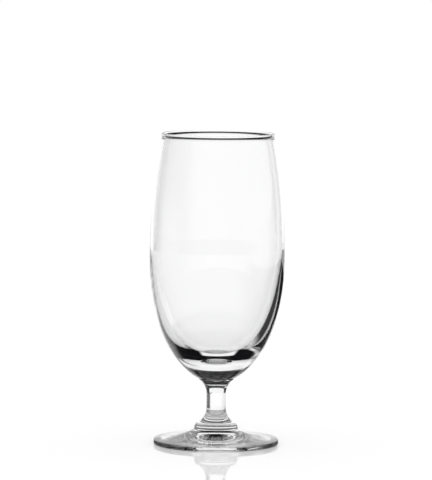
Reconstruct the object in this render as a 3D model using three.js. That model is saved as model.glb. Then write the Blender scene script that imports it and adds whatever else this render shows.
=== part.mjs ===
import * as THREE from "three";

// Stemmed beer glass, standing on z = 0 with its axis on z. Sizes are in millimetres.
// It is three pieces of clear glass: a foot, a stem and a bowl, fused end to end on flat faces.

// Foot: a pressed disc with a rounded hub in the middle of its top
const FOOT_DIAMETER = 70;
const FOOT_EDGE_THICKNESS = 2.7;
const FOOT_EDGE_ROUNDING = 0.6;
const REST_RING_WIDTH = 4;
const HOLLOW_DEPTH = 1.8;
const HUB_DIAMETER = 24.6;
const HUB_SIDE_HEIGHT = 0.7;
const HUB_FOOT_HEIGHT = 8.2;
const FOOT_HEIGHT = 12.3;
// Where the sweep of the foot's top turns from the hub's slope to the edge's
const SWEEP_TURN_RADIUS = 19;
const SWEEP_TURN_HEIGHT = 4.6;

// Stem: a straight shank that flares at both ends
const STEM_LENGTH = 24.5;
const STEM_DIAMETER = 10.9;
const STEM_FLARE_RADIUS = 10;
const WELD_EDGE_HEIGHT = 0.5;
const FOOT_JOINT_DIAMETER = 18;
const BOWL_JOINT_DIAMETER = 19.4;

// Bowl: widest at the belly, drawn in to the lip, with a thick solid base
const BOWL_HEIGHT = 138.2;
const BELLY_HEIGHT = 70;
const BELLY_DIAMETER = 75.8;
const MOUTH_DIAMETER = 63.5;
const LIP_THICKNESS = 1.8;
const NECK_WALL = 1.3;
const BELLY_WALL = 1.2;
const BASE_THICKNESS = 12;
// How full the half eggs below the belly are at their bottom and at their side: 2 and 2 is an ellipse
const OUTSIDE_BOTTOM_POWER = 1.92;
const OUTSIDE_SIDE_POWER = 2.2;
const INSIDE_BOTTOM_POWER = 2.75;
const INSIDE_SIDE_POWER = 1.6;
// How much higher the inside is widest than the outside, and the depth over which it starts gently
const INSIDE_RISE = 4;
const INSIDE_SOFTNESS = 5;

// Facets round the axis, and the gap below which two outline points count as one
const FACETS = 60;
const SAME_POINT = 0.01;

const CLEAR_GLASS = { color: 0xe6efed, roughness: 0.05, metalness: 0 };
const QUARTER = Math.PI / 2;

const at = (radius, height) => new THREE.Vector2(radius, height);

// An arc of a circle about a centre, from one angle to another, in the given number of steps
function arc(centre, radius, from, to, steps) {
  return ellipse(centre, radius, radius, from, to, steps);
}

function ellipse(centre, wide, high, from, to, steps) {
  const clockwise = to < from;
  const curve = new THREE.EllipseCurve(centre.x, centre.y, wide, high, from, to, clockwise);
  return curve.getPoints(steps);
}

// Puts the stretches of an outline end to end without doubled points
function join(...stretches) {
  const points = [];
  for (const point of stretches.flat()) {
    const last = points.at(-1);
    if (!last || last.distanceTo(point) > SAME_POINT) points.push(point);
  }
  return points;
}

// The arc that leaves the belly upright and ends at a smaller radius higher up
function drawnIn(belly, end, steps) {
  const inward = belly.x - end.x;
  const rise = end.y - belly.y;
  const radius = (rise * rise + inward * inward) / (2 * inward);
  const centre = at(belly.x - radius, belly.y);
  return arc(centre, radius, 0, Math.asin(rise / radius), steps);
}

// Half an egg, from the belly down to an end point: (radius / wide)^bottom + (depth / deep)^side = 1.
// Over its softness it leaves the belly more gently than that.
function halfEgg(belly, end, bottomPower, sidePower, softness, steps) {
  const start = softness ** sidePower;
  const share = (end.x / belly.x) ** bottomPower;
  const deep = (Math.hypot(belly.y - end.y, softness) ** sidePower - start) / (1 - share);
  const last = Math.acos(Math.sqrt(share));
  const points = [];
  for (let i = 0; i < steps; i++) {
    const turn = (last * i) / steps;
    const radius = belly.x * Math.cos(turn) ** (2 / bottomPower);
    const slant = (deep * Math.sin(turn) ** 2 + start) ** (1 / sidePower);
    const depth = Math.sqrt(Math.max(slant * slant - softness * softness, 0));
    points.push(at(radius, belly.y - depth));
  }
  return [...points, end];
}

// Turns an outline about the axis into one named piece of glass
function turned(name, points, height) {
  const geometry = new THREE.LatheGeometry(points, FACETS);
  geometry.rotateX(QUARTER);
  const mesh = new THREE.Mesh(geometry, new THREE.MeshStandardMaterial(CLEAR_GLASS));
  mesh.name = name;
  mesh.position.z = height;
  return mesh;
}

function footOutline() {
  const edge = FOOT_DIAMETER / 2;
  const rounding = FOOT_EDGE_ROUNDING;
  const flat = edge - rounding;
  const hollow = flat - REST_RING_WIDTH;
  const hub = HUB_DIAMETER / 2;
  const joint = FOOT_JOINT_DIAMETER / 2;
  const shoulder = HUB_FOOT_HEIGHT + HUB_SIDE_HEIGHT;
  const hollowRadius = (hollow * hollow + HOLLOW_DEPTH * HOLLOW_DEPTH) / (2 * HOLLOW_DEPTH);
  const hollowCentre = at(0, HOLLOW_DEPTH - hollowRadius);
  const sweep = new THREE.QuadraticBezierCurve(
    at(flat, FOOT_EDGE_THICKNESS),
    at(SWEEP_TURN_RADIUS, SWEEP_TURN_HEIGHT),
    at(hub, HUB_FOOT_HEIGHT),
  );
  return join(
    [at(0, HOLLOW_DEPTH)],
    arc(hollowCentre, hollowRadius, QUARTER, Math.acos(hollow / hollowRadius), 6),
    [at(hollow, 0)],
    arc(at(flat, rounding), rounding, -QUARTER, 0, 3),
    arc(at(flat, FOOT_EDGE_THICKNESS - rounding), rounding, 0, QUARTER, 3),
    sweep.getPoints(7),
    ellipse(at(joint, shoulder), hub - joint, FOOT_HEIGHT - shoulder, 0, QUARTER, 4),
    [at(0, FOOT_HEIGHT)],
  );
}

// One flared end of the stem, from its weld edge to the shank: heights run up from the weld
function flare(jointRadius) {
  const shank = STEM_DIAMETER / 2;
  const turn = Math.acos(1 - (jointRadius - shank) / STEM_FLARE_RADIUS);
  const start = WELD_EDGE_HEIGHT + STEM_FLARE_RADIUS * Math.sin(turn);
  const centre = at(shank + STEM_FLARE_RADIUS, start);
  const bend = arc(centre, STEM_FLARE_RADIUS, Math.PI + turn, Math.PI, 5);
  return [at(0, 0), at(jointRadius, 0), ...bend];
}

function stemOutline() {
  const lower = flare(FOOT_JOINT_DIAMETER / 2);
  const upper = flare(BOWL_JOINT_DIAMETER / 2);
  const flipped = upper.map((point) => at(point.x, STEM_LENGTH - point.y)).reverse();
  return join(lower, flipped);
}

function bowlOutline() {
  const joint = BOWL_JOINT_DIAMETER / 2;
  const belly = BELLY_DIAMETER / 2;
  const bead = LIP_THICKNESS / 2;
  const lip = MOUTH_DIAMETER / 2 - bead;
  const beadHeight = BOWL_HEIGHT - bead;
  const outerBelly = at(belly, BELLY_HEIGHT);
  const innerBelly = at(belly - BELLY_WALL, BELLY_HEIGHT + INSIDE_RISE);
  // The wall meets the lip's round bead under its widest points
  const outerNeck = at(lip + NECK_WALL / 2, beadHeight - bead);
  const innerNeck = at(lip - NECK_WALL / 2, beadHeight - bead);
  const outerEnd = at(joint, 0);
  const innerEnd = at(0, BASE_THICKNESS);
  return join(
    [at(0, 0)],
    halfEgg(outerBelly, outerEnd, OUTSIDE_BOTTOM_POWER, OUTSIDE_SIDE_POWER, 0, 13).reverse(),
    drawnIn(outerBelly, outerNeck, 6),
    arc(at(lip, beadHeight), bead, -QUARTER / 3, 2 * QUARTER + QUARTER / 3, 8),
    drawnIn(innerBelly, innerNeck, 6).reverse(),
    halfEgg(innerBelly, innerEnd, INSIDE_BOTTOM_POWER, INSIDE_SIDE_POWER, INSIDE_SOFTNESS, 13),
  );
}

const foot = turned("foot", footOutline(), 0);
const stem = turned("stem", stemOutline(), FOOT_HEIGHT);
const bowl = turned("bowl", bowlOutline(), FOOT_HEIGHT + STEM_LENGTH);

const glass = new THREE.Group();
glass.name = "stemmed_beer_glass";
glass.add(foot, stem, bowl);

export default glass;
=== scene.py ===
import math

import bmesh
import bpy
from mathutils import Matrix


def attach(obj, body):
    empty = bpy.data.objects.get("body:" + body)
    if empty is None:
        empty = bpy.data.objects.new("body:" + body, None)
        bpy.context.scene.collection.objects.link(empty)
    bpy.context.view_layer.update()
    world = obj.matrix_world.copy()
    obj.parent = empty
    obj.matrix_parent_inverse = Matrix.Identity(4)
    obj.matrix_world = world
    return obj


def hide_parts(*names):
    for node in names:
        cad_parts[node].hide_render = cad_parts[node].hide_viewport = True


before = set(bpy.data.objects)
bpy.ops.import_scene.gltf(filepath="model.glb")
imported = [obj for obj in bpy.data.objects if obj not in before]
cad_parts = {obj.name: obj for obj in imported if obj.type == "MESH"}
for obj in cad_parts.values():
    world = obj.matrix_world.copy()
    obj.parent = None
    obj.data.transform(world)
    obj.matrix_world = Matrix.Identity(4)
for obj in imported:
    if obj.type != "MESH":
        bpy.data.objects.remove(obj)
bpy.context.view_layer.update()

MM = 0.001
DEGREE = math.pi / 180
QUARTER = math.pi / 2

# Sizes in millimetres, the same values as in the part's source
FOOT_DIAMETER = 70
FOOT_EDGE_THICKNESS = 2.7
FOOT_EDGE_ROUNDING = 0.6
REST_RING_WIDTH = 4
HOLLOW_DEPTH = 1.8
HUB_DIAMETER = 24.6
HUB_SIDE_HEIGHT = 0.7
HUB_FOOT_HEIGHT = 8.2
FOOT_HEIGHT = 12.3
SWEEP_TURN = (19, 4.6)
STEM_LENGTH = 24.5
STEM_DIAMETER = 10.9
STEM_FLARE_RADIUS = 10
WELD_EDGE_HEIGHT = 0.5
FOOT_JOINT_DIAMETER = 18
BOWL_JOINT_DIAMETER = 19.4
BOWL_HEIGHT = 138.2
BELLY_HEIGHT = 70
BELLY_DIAMETER = 75.8
MOUTH_DIAMETER = 63.5
LIP_THICKNESS = 1.8
NECK_WALL = 1.3
BELLY_WALL = 1.2
BASE_THICKNESS = 12
OUTSIDE_BOTTOM_POWER = 1.92
OUTSIDE_SIDE_POWER = 2.2
INSIDE_BOTTOM_POWER = 2.75
INSIDE_SIDE_POWER = 1.6
INSIDE_RISE = 4
INSIDE_SOFTNESS = 5

# The pressed foot's slight waves: their height, how many run out from the hub, and where they lie.
# They sway from side to side, twist on their way out, and are stronger in a few patches.
RIPPLE = 0.1
RIPPLE_COUNT = 31
RIPPLE_INNER = 14
RIPPLE_OUTER = 33
RIPPLE_SWAY = 2.5
RIPPLE_SWAYS = 7
RIPPLE_TWIST = 6
RIPPLE_PATCHES = 3
RIPPLE_START = 1

# How finely the pieces are turned, the least step between points, and the bend that counts as an edge
FACETS = 192
SAME_POINT = 0.004
SHARP_EDGE = 30

GLASS_IOR = 1.52
GLASS_PALE = (0.993, 0.996, 0.995, 1)
GLASS_CLEAR = (1, 1, 1, 1)
CLOUD_SCALE = 40
CLOUD_DETAIL = 3

# The camera, in metres and degrees; the focal length and the pan are in pixels of the photograph
DISTANCE = 2.0
EYE = 0.297
PITCH = 5.203
ROLL = 0.43
PAN = 1.35
FOCAL = 3583.3
PHOTO_HEIGHT = 480
SENSOR = 36
FARTHEST = 100
BOUNCES = 32

# The table, in millimetres: it lies a hair under the foot
TABLE_HALF = 6000
TABLE_LEVEL = -0.05
TABLE_WHITE = (0.995, 0.995, 0.995, 1)
TABLE_ROUGHNESS = 0.04
TABLE_IOR = 1.45
TABLE_GLOSS = 0.5
TABLE_GLOW = 0.03
WHITE = (1, 1, 1, 1)

# The dark room round the glass, in millimetres and in degrees from straight behind the glass. Each pair
# is where something starts to show and where it shows in full.
ROOM = 800
HIGH = 900
SUNK = 10
DRUM_FACETS = 96
# Black of the dark set and of the painted shade on the table
SET_AND_SHADE_BLACK = (0.004, 0.004, 0.005, 1)
ROOM_FRONT = (108, 128)
WINDOW_RIGHT = (37, 29)
WINDOW_LEFT = (-44, -36)
WINDOW_TOP = (460, 410)
FILL_LEVEL = 0.8
FILL_BACK = (-55, -80)
FILL_FRONT = (-125, -100)
FILL_TOP = (220, 100)
CANOPY = 260
CANOPY_EDGE = (185, 203)

# A dark sheet on the table that only the glass sees: painted shade in a ring round the foot and a patch
# before it, weaker under the foot, and dark patches at the sides
SHADE_SHEET_LEVEL = -0.02
UNDER = 0.15
UNDER_EDGE = (27, 36)
CONTACT_SHADE = 0.85
CONTACT_SHADE_EDGE = (62, 40)
FRONT_SHADE = 0.95
FRONT_SHADE_EDGE = (120, 95)
FRONT_SHADE_ANGLE = (50, 75)
LEFT_ANGLE = (-18, -42)
RIGHT_ANGLE = (22, 34)
BACK_ANGLE = (150, 100)
SIDE_NEAR = (50, 100)
SIDE_FAR = (790, 500)
SIDE_LEFT = 0.1
SIDE_RIGHT = 0.95
RIGHT = 0.97
RIGHT_EDGE = (100, 145)
RIGHT_SLANT = 0.06

# Light that comes through the near and the far wall of the bowl passes four surfaces
BOTH_WALLS = 4


def ellipse(centre, wide, high, start, end, steps):
    turns = [start + (end - start) * i / steps for i in range(steps + 1)]
    return [(centre[0] + wide * math.cos(t), centre[1] + high * math.sin(t)) for t in turns]


def arc(centre, radius, start, end, steps):
    return ellipse(centre, radius, radius, start, end, steps)


def line(a, b, steps):
    shares = [i / steps for i in range(steps + 1)]
    return [(a[0] + (b[0] - a[0]) * t, a[1] + (b[1] - a[1]) * t) for t in shares]


def bezier(points, steps):
    degree = len(points) - 1
    result = []
    for i in range(steps + 1):
        t = i / steps
        share = [math.comb(degree, k) * t**k * (1 - t) ** (degree - k) for k in range(degree + 1)]
        result.append(tuple(sum(s * p[axis] for s, p in zip(share, points)) for axis in (0, 1)))
    return result


# The bowl's curve from its belly down to its bottom
def half_egg(belly, end, bottom_power, side_power, softness, steps):
    wide, height = belly
    start = softness**side_power
    share = (end[0] / wide) ** bottom_power
    deep = (math.hypot(height - end[1], softness) ** side_power - start) / (1 - share)
    last = math.acos(math.sqrt(share))
    points = []
    for i in range(steps):
        turn = last * i / steps
        slant = (deep * math.sin(turn) ** 2 + start) ** (1 / side_power)
        depth = math.sqrt(max(slant**2 - softness**2, 0))
        points.append((wide * math.cos(turn) ** (2 / bottom_power), height - depth))
    return points + [end]


# The bowl's curve from its belly up to its mouth
def drawn_in(belly, end, steps):
    inward, rise = belly[0] - end[0], end[1] - belly[1]
    radius = (rise * rise + inward * inward) / (2 * inward)
    return arc((belly[0] - radius, belly[1]), radius, 0, math.asin(rise / radius), steps)


def join(*stretches):
    points = []
    for point in (p for stretch in stretches for p in stretch):
        if not points or math.dist(points[-1], point) > SAME_POINT:
            points.append(point)
    return points


def foot_outline():
    edge = FOOT_DIAMETER / 2
    rounding = FOOT_EDGE_ROUNDING
    flat = edge - rounding
    hollow = flat - REST_RING_WIDTH
    hub = HUB_DIAMETER / 2
    joint = FOOT_JOINT_DIAMETER / 2
    shoulder = HUB_FOOT_HEIGHT + HUB_SIDE_HEIGHT
    radius = (hollow**2 + HOLLOW_DEPTH**2) / (2 * HOLLOW_DEPTH)
    return join(
        arc((0, HOLLOW_DEPTH - radius), radius, QUARTER, math.acos(hollow / radius), 30),
        line((hollow, 0), (flat, 0), 4),
        arc((flat, rounding), rounding, -QUARTER, 0, 10),
        arc((flat, FOOT_EDGE_THICKNESS - rounding), rounding, 0, QUARTER, 10),
        bezier([(flat, FOOT_EDGE_THICKNESS), SWEEP_TURN, (hub, HUB_FOOT_HEIGHT)], 40),
        ellipse((joint, shoulder), hub - joint, FOOT_HEIGHT - shoulder, 0, QUARTER, 16),
        [(0, FOOT_HEIGHT)],
    )


def flare(joint):
    shank = STEM_DIAMETER / 2
    turn = math.acos(1 - (joint - shank) / STEM_FLARE_RADIUS)
    start = WELD_EDGE_HEIGHT + STEM_FLARE_RADIUS * math.sin(turn)
    bend = arc((shank + STEM_FLARE_RADIUS, start), STEM_FLARE_RADIUS, math.pi + turn, math.pi, 24)
    return [(0, 0), (joint, 0)] + bend


def stem_outline():
    lower = flare(FOOT_JOINT_DIAMETER / 2)
    upper = [(r, STEM_LENGTH - z) for r, z in reversed(flare(BOWL_JOINT_DIAMETER / 2))]
    return join(lower, line(lower[-1], upper[0], 8), upper)


def bowl_outline():
    joint = BOWL_JOINT_DIAMETER / 2
    belly = BELLY_DIAMETER / 2
    bead = LIP_THICKNESS / 2
    lip = MOUTH_DIAMETER / 2 - bead
    bead_height = BOWL_HEIGHT - bead
    outer_belly = (belly, BELLY_HEIGHT)
    inner_belly = (belly - BELLY_WALL, BELLY_HEIGHT + INSIDE_RISE)
    outer_neck = (lip + NECK_WALL / 2, bead_height - bead)
    inner_neck = (lip - NECK_WALL / 2, bead_height - bead)
    outside = half_egg(outer_belly, (joint, 0), OUTSIDE_BOTTOM_POWER, OUTSIDE_SIDE_POWER, 0, 80)
    inside = half_egg(
        inner_belly, (0, BASE_THICKNESS), INSIDE_BOTTOM_POWER, INSIDE_SIDE_POWER, INSIDE_SOFTNESS, 90
    )
    return join(
        [(0, 0)],
        reversed(outside),
        drawn_in(outer_belly, outer_neck, 40),
        arc((lip, bead_height), bead, -QUARTER / 3, 2 * QUARTER + QUARTER / 3, 20),
        reversed(drawn_in(inner_belly, inner_neck, 40)),
        inside,
    )


def new_material(name):
    material = bpy.data.materials.new(name)
    material.use_nodes = True
    return material, material.node_tree, material.node_tree.nodes["Principled BSDF"]


def calc(tree, operation, a, b=0.0):
    made = tree.nodes.new("ShaderNodeMath")
    made.operation = operation
    for socket, value in zip(made.inputs, (a, b)):
        if isinstance(value, (int, float)):
            socket.default_value = value
        else:
            tree.links.new(value, socket)
    return made.outputs[0]


def product(tree, first, *others):
    for other in others:
        first = calc(tree, "MULTIPLY", first, other)
    return first


def rest_of(tree, share):
    return calc(tree, "SUBTRACT", 1.0, share)


def at_least(tree, count, number):
    return calc(tree, "GREATER_THAN", count, number - 0.5)


def none_of(tree, count):
    return calc(tree, "LESS_THAN", count, 0.5)


# Rises smoothly from nothing at the edge's start to one at its end
def fade(tree, value, edge, unit):
    made = tree.nodes.new("ShaderNodeMapRange")
    made.interpolation_type = "SMOOTHSTEP"
    made.inputs["From Min"].default_value = edge[0] * unit
    made.inputs["From Max"].default_value = edge[1] * unit
    tree.links.new(value, made.inputs["Value"])
    return made.outputs[0]


def place(tree):
    coordinates = tree.nodes.new("ShaderNodeTexCoord")
    split = tree.nodes.new("ShaderNodeSeparateXYZ")
    tree.links.new(coordinates.outputs["Object"], split.inputs[0])
    return split.outputs


def light_path(tree):
    return tree.nodes.new("ShaderNodeLightPath").outputs


# Clear glass whose melt is not quite even: faint paler clouds in its colour
def clear_glass():
    material, tree, shader = new_material("clear_glass")
    shader.inputs["Transmission Weight"].default_value = 1
    shader.inputs["IOR"].default_value = GLASS_IOR
    shader.inputs["Roughness"].default_value = 0
    coordinates = tree.nodes.new("ShaderNodeTexCoord")
    clouds = tree.nodes.new("ShaderNodeTexNoise")
    clouds.inputs["Scale"].default_value = CLOUD_SCALE
    clouds.inputs["Detail"].default_value = CLOUD_DETAIL
    tint = tree.nodes.new("ShaderNodeValToRGB")
    tint.color_ramp.elements[0].color = GLASS_PALE
    tint.color_ramp.elements[1].color = GLASS_CLEAR
    tree.links.new(coordinates.outputs["Object"], clouds.inputs["Vector"])
    tree.links.new(clouds.outputs["Fac"], tint.inputs["Fac"])
    tree.links.new(tint.outputs["Color"], shader.inputs["Base Color"])
    return material


# The fused faces between two pieces let light straight through
def weld_face():
    material, tree, shader = new_material("weld_face")
    tree.nodes.remove(shader)
    clear = tree.nodes.new("ShaderNodeBsdfTransparent")
    tree.links.new(clear.outputs[0], tree.nodes["Material Output"].inputs["Surface"])
    return material


# How far the foot's top stands out of its true sweep at one place
def ripple(radius, angle):
    if not RIPPLE_INNER < radius < RIPPLE_OUTER:
        return 0
    share = (radius - RIPPLE_INNER) / (RIPPLE_OUTER - RIPPLE_INNER)
    sway = RIPPLE_SWAY * math.sin(RIPPLE_SWAYS * angle)
    wave = math.sin(RIPPLE_COUNT * angle + sway + RIPPLE_TWIST * share)
    strength = 0.5 + 0.5 * math.sin(RIPPLE_PATCHES * angle + RIPPLE_START)
    return RIPPLE * wave * math.sin(math.pi * share) ** 2 * strength


# One ring of points round the axis, or the single point on it
def ring_of(bm, r, z, wave):
    if r < SAME_POINT:
        return [bm.verts.new((0, 0, z * MM))]
    ring = []
    for i in range(FACETS):
        a = 2 * math.pi * i / FACETS
        lift = wave(r, a) if wave and z > FOOT_EDGE_THICKNESS else 0
        ring.append(bm.verts.new((r * math.cos(a) * MM, r * math.sin(a) * MM, (z + lift) * MM)))
    return ring


def turned(name, outline, height, replaced, wave=None):
    bm = bmesh.new()
    rings = [ring_of(bm, r, z + height, wave) for r, z in outline]
    for k, (a, b) in enumerate(zip(rings, rings[1:])):
        weld = outline[k][1] == outline[k + 1][1] and len(a) + len(b) == FACETS + 1
        for i in range(FACETS):
            j = (i + 1) % FACETS
            if len(a) == 1:
                corners = (a[0], b[j], b[i])
            elif len(b) == 1:
                corners = (a[i], a[j], b[0])
            else:
                corners = (a[i], a[j], b[j], b[i])
            face = bm.faces.new(corners)
            face.smooth = True
            face.material_index = 1 if weld else 0
    bmesh.ops.recalc_face_normals(bm, faces=bm.faces)
    mesh = bpy.data.meshes.new(name)
    bm.to_mesh(mesh)
    bm.free()
    mesh.set_sharp_from_angle(angle=SHARP_EDGE * DEGREE)
    mesh.materials.append(GLASS)
    mesh.materials.append(WELD)
    piece = bpy.data.objects.new(name, mesh)
    scene.collection.objects.link(piece)
    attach(piece, "root")
    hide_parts(replaced)


def flat_square(name, half, level):
    mesh = bpy.data.meshes.new(name)
    corners = [(x * half * MM, y * half * MM, level * MM) for x, y in ((-1, -1), (1, -1), (1, 1), (-1, 1))]
    mesh.from_pydata(corners, [], [(0, 1, 2, 3)])
    return bpy.data.objects.new(name, mesh)


def open_drum(name, radius, high):
    bm = bmesh.new()
    bmesh.ops.create_cone(
        bm, cap_ends=True, segments=DRUM_FACETS, radius1=radius * MM, radius2=radius * MM, depth=high * MM
    )
    bottom = [face for face in bm.faces if face.normal.z < -0.5]
    bmesh.ops.delete(bm, geom=bottom, context="FACES")
    bmesh.ops.translate(bm, verts=bm.verts, vec=(0, 0, (high / 2 - SUNK) * MM))
    mesh = bpy.data.meshes.new(name)
    bm.to_mesh(mesh)
    bm.free()
    return bpy.data.objects.new(name, mesh)


# White glossy table, whose gloss shows where it is seen directly
def white_table():
    table = flat_square("table", TABLE_HALF, TABLE_LEVEL)
    material, tree, shader = new_material("white_table")
    shader.inputs["Base Color"].default_value = TABLE_WHITE
    shader.inputs["Roughness"].default_value = TABLE_ROUGHNESS
    shader.inputs["IOR"].default_value = TABLE_IOR
    shader.inputs["Emission Color"].default_value = WHITE
    shader.inputs["Emission Strength"].default_value = TABLE_GLOW
    gloss = product(tree, light_path(tree)["Is Camera Ray"], TABLE_GLOSS)
    tree.links.new(gloss, shader.inputs["Specular IOR Level"])
    table.data.materials.append(material)
    scene.collection.objects.link(table)


def white_surroundings():
    world = bpy.data.worlds.new("white_room")
    world.use_nodes = True
    background = world.node_tree.nodes["Background"]
    background.inputs["Color"].default_value = WHITE
    background.inputs["Strength"].default_value = 1
    scene.world = world


def azimuth_of(tree, x, y):
    return calc(tree, "ARCTAN2", x, y)


def radius_of(tree, x, y):
    return calc(tree, "SQRT", calc(tree, "ADD", product(tree, x, x), product(tree, y, y)))


# Dark all round but for a white window behind the glass and a dim fill at its left
def room_cover(tree, x, y, z):
    azimuth = azimuth_of(tree, x, y)
    window = product(
        tree,
        fade(tree, azimuth, WINDOW_LEFT, DEGREE),
        fade(tree, azimuth, WINDOW_RIGHT, DEGREE),
        fade(tree, z, WINDOW_TOP, MM),
    )
    fill = product(
        tree,
        fade(tree, azimuth, FILL_BACK, DEGREE),
        fade(tree, azimuth, FILL_FRONT, DEGREE),
        fade(tree, z, FILL_TOP, MM),
        FILL_LEVEL,
    )
    dark = rest_of(tree, calc(tree, "MAXIMUM", window, fill))
    # What is seen through the glass without a reflection inside it is open at the front
    ahead = fade(tree, calc(tree, "ABSOLUTE", azimuth), ROOM_FRONT, DEGREE)
    opened = product(tree, ahead, none_of(tree, light_path(tree)["Glossy Depth"]))
    return product(tree, dark, rest_of(tree, opened))


# Dark above the mouth, which gives the lip its dark lines
def canopy_cover(tree, x, y, z):
    return fade(tree, z, CANOPY_EDGE, MM)


# Dark on the table: painted shade in a ring round the foot and a patch before it, and dark patches at the
# two sides, the right one strongest
def floor_shade_and_sides(tree, x, y, z):
    azimuth = azimuth_of(tree, x, y)
    radius = radius_of(tree, x, y)
    away = calc(tree, "ABSOLUTE", azimuth)
    # Painted shade round the foot and before it, seen only by the glass; it is weaker under the foot
    ring = product(tree, fade(tree, radius, CONTACT_SHADE_EDGE, MM), CONTACT_SHADE)
    front = product(tree, fade(tree, radius, FRONT_SHADE_EDGE, MM), fade(tree, away, FRONT_SHADE_ANGLE, DEGREE), FRONT_SHADE)
    under = calc(tree, "ADD", product(tree, fade(tree, radius, UNDER_EDGE, MM), 1 - UNDER), UNDER)
    near = product(tree, calc(tree, "MAXIMUM", ring, front), under)
    left_side = product(tree, fade(tree, azimuth, LEFT_ANGLE, DEGREE), SIDE_LEFT)
    right_side = product(tree, fade(tree, azimuth, RIGHT_ANGLE, DEGREE), SIDE_RIGHT)
    reach = product(tree, fade(tree, radius, SIDE_NEAR, MM), fade(tree, radius, SIDE_FAR, MM))
    sides = product(tree, calc(tree, "ADD", left_side, right_side), reach)
    beyond = calc(tree, "SUBTRACT", x, product(tree, y, RIGHT_SLANT))
    right = product(tree, fade(tree, beyond, RIGHT_EDGE, MM), RIGHT)
    behind = fade(tree, away, BACK_ANGLE, DEGREE)
    far = product(tree, calc(tree, "MAXIMUM", sides, right), behind)
    underside = tree.nodes.new("ShaderNodeNewGeometry").outputs["Backfacing"]
    return product(tree, calc(tree, "MAXIMUM", near, far), rest_of(tree, underside))


# The light that the dark set and the painted shade stop. Light on its way to the table passes, and so does
# what is seen through both walls of the bowl without a reflection. A piece that isn't mirrored shows only
# through the glass.
def stopped_light(tree, mirrored):
    path = light_path(tree)
    through_both = at_least(tree, path["Transmission Depth"], BOTH_WALLS)
    straight = product(tree, through_both, none_of(tree, path["Glossy Depth"]))
    stopped = product(tree, none_of(tree, path["Diffuse Depth"]), rest_of(tree, straight))
    if mirrored:
        return stopped
    return product(tree, stopped, at_least(tree, path["Transmission Depth"], 1))


# Black pieces seen only in the glass: the dark room and canopy, and the sheet of painted shade on the table
def dark_set_and_shade(made, cover, mirrored):
    material, tree, shader = new_material(made.name)
    shader.inputs["Base Color"].default_value = SET_AND_SHADE_BLACK
    shader.inputs["Roughness"].default_value = 1
    shader.inputs["Specular IOR Level"].default_value = 0
    dark = product(tree, cover(tree, *place(tree)), stopped_light(tree, mirrored))
    tree.links.new(dark, shader.inputs["Alpha"])
    made.data.materials.append(material)
    made.visible_camera = False
    made.visible_diffuse = False
    made.visible_shadow = False
    scene.collection.objects.link(made)


# Two metres away, a little above the rim, with the slight tilt of the photograph
def add_camera():
    data = bpy.data.cameras.new("camera")
    data.sensor_width = SENSOR
    data.lens = FOCAL / PHOTO_HEIGHT * SENSOR
    data.clip_end = FARTHEST
    camera = bpy.data.objects.new("camera", data)
    scene.collection.objects.link(camera)
    turn = (
        Matrix.Rotation(PAN / FOCAL, 4, "Z")
        @ Matrix.Rotation((90 - PITCH) * DEGREE, 4, "X")
        @ Matrix.Rotation(ROLL * DEGREE, 4, "Z")
    )
    camera.matrix_world = Matrix.Translation((0, -DISTANCE, EYE)) @ turn
    scene.camera = camera


scene = bpy.context.scene
GLASS = clear_glass()
WELD = weld_face()
turned("foot_glass", foot_outline(), 0, "foot", ripple)
turned("stem_glass", stem_outline(), FOOT_HEIGHT, "stem")
turned("bowl_glass", bowl_outline(), FOOT_HEIGHT + STEM_LENGTH, "bowl")

add_camera()
white_table()
white_surroundings()

# A photographer's set that stands still: a dark room with a white window behind the glass, a dark canopy
# and on the table a sheet with painted shade round the foot and dark patches at the sides. Clear glass
# takes its dark edges from them.
dark_set_and_shade(open_drum("dark_room", ROOM, HIGH + SUNK), room_cover, False)
dark_set_and_shade(open_drum("canopy", CANOPY, HIGH), canopy_cover, False)
dark_set_and_shade(flat_square("floor_shade_sheet", ROOM, SHADE_SHEET_LEVEL), floor_shade_and_sides, True)

scene.view_settings.view_transform = "Standard"
scene.cycles.max_bounces = BOUNCES
scene.cycles.transmission_bounces = BOUNCES
scene.cycles.glossy_bounces = BOUNCES
scene.cycles.transparent_max_bounces = BOUNCES
